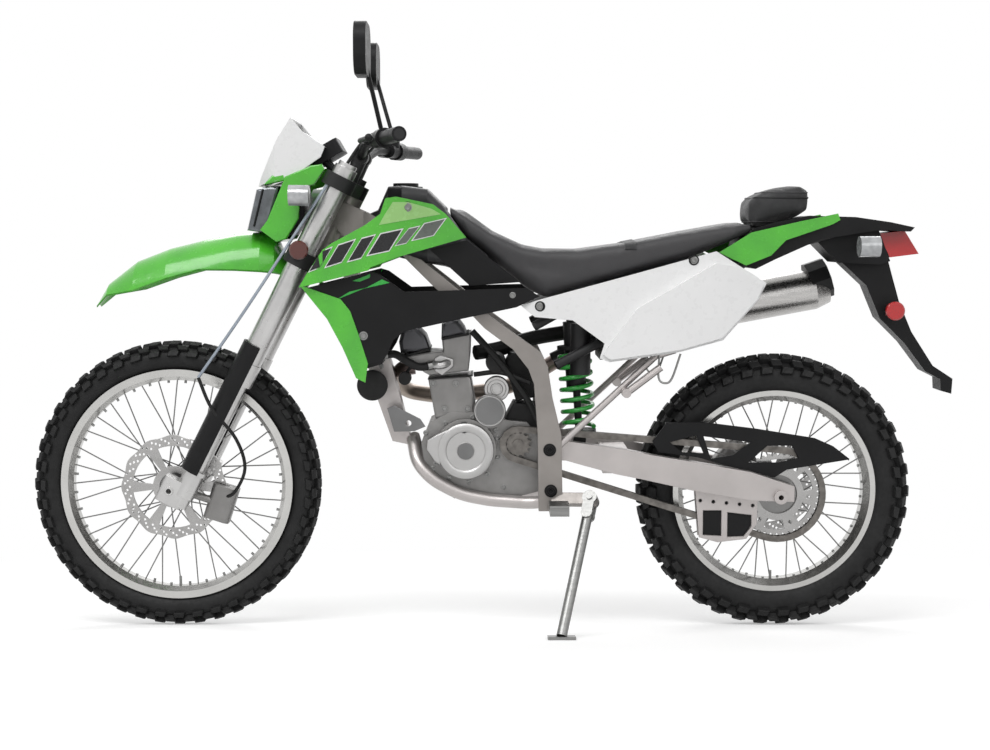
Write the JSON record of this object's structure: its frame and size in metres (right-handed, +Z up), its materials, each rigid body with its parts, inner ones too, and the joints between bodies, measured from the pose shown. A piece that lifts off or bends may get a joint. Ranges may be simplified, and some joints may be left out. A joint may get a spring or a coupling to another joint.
{
  "type": "dual sport motorcycle",
  "caption": "Dual sport motorcycle with spoked wheels, upside-down fork, high front fender, twin-spar frame, chain drive and side stand, leaning on the stand.",
  "frame": {"origin": "on the floor under the middle of the overall box, with the motorcycle leaning on its side stand", "axes": "+X to the rear of the motorcycle, +Y to its right side, +Z up"},
  "size_m": [2.1948, 0.8364, 1.4654],
  "materials": {
    "tyre": "knobby rubber",
    "rim_metal": "polished",
    "hub_metal": "satin",
    "disc_steel": "ground",
    "clamp_metal": "dark anodised",
    "fork_silver": "satin anodised",
    "black_plastic": "moulded matt",
    "bar_metal": "satin",
    "control_black": "ribbed",
    "green_plastic": "gloss",
    "white_plastic": "gloss",
    "lamp_glass": "clear",
    "amber_lens": "clear tinted",
    "frame_bronze": "satin bronze grey",
    "cradle_silver": "satin silver",
    "subframe_metal": "satin",
    "engine_metal": "cast",
    "cover_metal": "polished rim",
    "radiator_metal": "black louvres",
    "steel_dark": "worn",
    "swingarm_silver": "brushed",
    "spring_green": "gloss",
    "seat_vinyl": "grained vinyl",
    "bag_cloth": "woven",
    "muffler_steel": "brushed",
    "pipe_chrome": "polished",
    "red_lens": "clear red",
    "stand_steel": "satin",
    "mirror_black": "satin"
  },
  "bodies": {
    "front_wheel": {"front_tyre": "tyre", "front_rim": "rim_metal", "front_hub": "hub_metal", "front_disc": "disc_steel"},
    "rear_wheel": {"rear_tyre": "tyre", "rear_rim": "rim_metal", "rear_hub": "hub_metal", "rear_disc": "disc_steel", "rear_sprocket": "steel_dark"},
    "steering": {"triple_clamps": "clamp_metal", "fork_tubes": "fork_silver", "fork_legs": "fork_silver", "fork_guards": "black_plastic", "handlebar": "bar_metal", "hand_controls": "control_black", "mirrors": "mirror_black", "front_fender": "green_plastic", "headlight": "lamp_glass", "headlight_mask": "green_plastic", "visor": "white_plastic", "instrument": "black_plastic", "front_indicators": "amber_lens", "front_caliper": "clamp_metal"},
    "chassis": {"main_frame": "frame_bronze", "frame_cradle": "cradle_silver", "subframe": "subframe_metal", "engine_crankcase": "engine_metal", "engine_covers": "cover_metal", "engine_cylinder": "engine_metal", "engine_head": "engine_metal", "radiators": "radiator_metal", "swingarm": "swingarm_silver", "chain": "steel_dark", "counter_sprocket": "steel_dark", "shock_body": "black_plastic", "shock_spring": "spring_green", "fuel_tank": "green_plastic", "fuel_cap": "black_plastic", "green_shrouds": "green_plastic", "black_shrouds": "black_plastic", "seat": "seat_vinyl", "muffler": "muffler_steel", "exhaust_pipe": "pipe_chrome", "airbox": "black_plastic", "side_covers": "white_plastic", "tail_panels": "green_plastic", "rear_fender": "black_plastic", "tail_light": "red_lens", "rear_indicators": "amber_lens", "tool_bag": "bag_cloth", "foot_pegs": "steel_dark", "rear_caliper": "clamp_metal"},
    "side_stand": {"side_stand": "stand_steel"}
  },
  "joints": [
    {"name": "steering_turn", "type": "hinge", "parent": "chassis", "child": "steering", "pos_m": [-0.40491, 0.05116, 0.87933], "axis": [0.454, -0.1317, 0.8812], "range_deg": [-45, 45]},
    {"name": "front_wheel_spin", "type": "hinge", "parent": "steering", "child": "front_wheel", "pos_m": [-0.7525, 0.13148, 0.34187], "axis": [0, 0.989, 0.1478], "continuous": true},
    {"name": "rear_wheel_spin", "type": "hinge", "parent": "chassis", "child": "rear_wheel", "pos_m": [0.6775, 0.1337, 0.32703], "axis": [0, 0.989, 0.1478], "continuous": true},
    {"name": "side_stand_swing", "type": "hinge", "parent": "chassis", "child": "side_stand", "pos_m": [0.2305, -0.01465, 0.30486], "axis": [-0.2565, -0.8571, 0.4467], "range_deg": [0, 111]}
  ]
}
